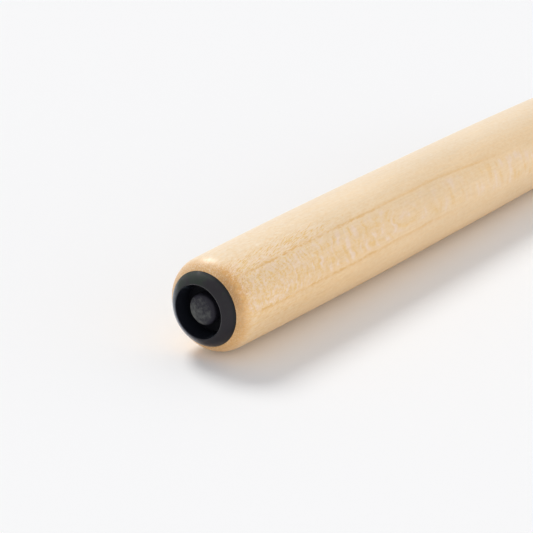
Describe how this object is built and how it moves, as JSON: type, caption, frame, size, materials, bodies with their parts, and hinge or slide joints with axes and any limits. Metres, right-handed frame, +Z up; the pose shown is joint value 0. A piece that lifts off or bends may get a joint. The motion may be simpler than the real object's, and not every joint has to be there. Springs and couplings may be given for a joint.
{
  "type": "claves stick",
  "caption": "Turned hardwood percussion stick, thickest in the middle, with rounded shoulders and a black rubber bumper nailed into each end.",
  "frame": {"origin": "middle of the stick, on its axis", "axes": "+X along the stick from the front end to the rear end, +Z up; the front end, at -X, is the one in the picture"},
  "size_m": [0.2048, 0.025, 0.025],
  "materials": {
    "maple": "clear satin lacquer",
    "black_rubber": "matte, moulded",
    "blackened_steel": "black oxide",
    "dull_steel": "dull dark oxide"
  },
  "bodies": {
    "root": {"stick": "maple", "front_bumper": "black_rubber", "front_washer": "blackened_steel", "front_nail": "dull_steel", "rear_bumper": "black_rubber", "rear_washer": "blackened_steel", "rear_nail": "dull_steel"}
  },
  "joints": []
}
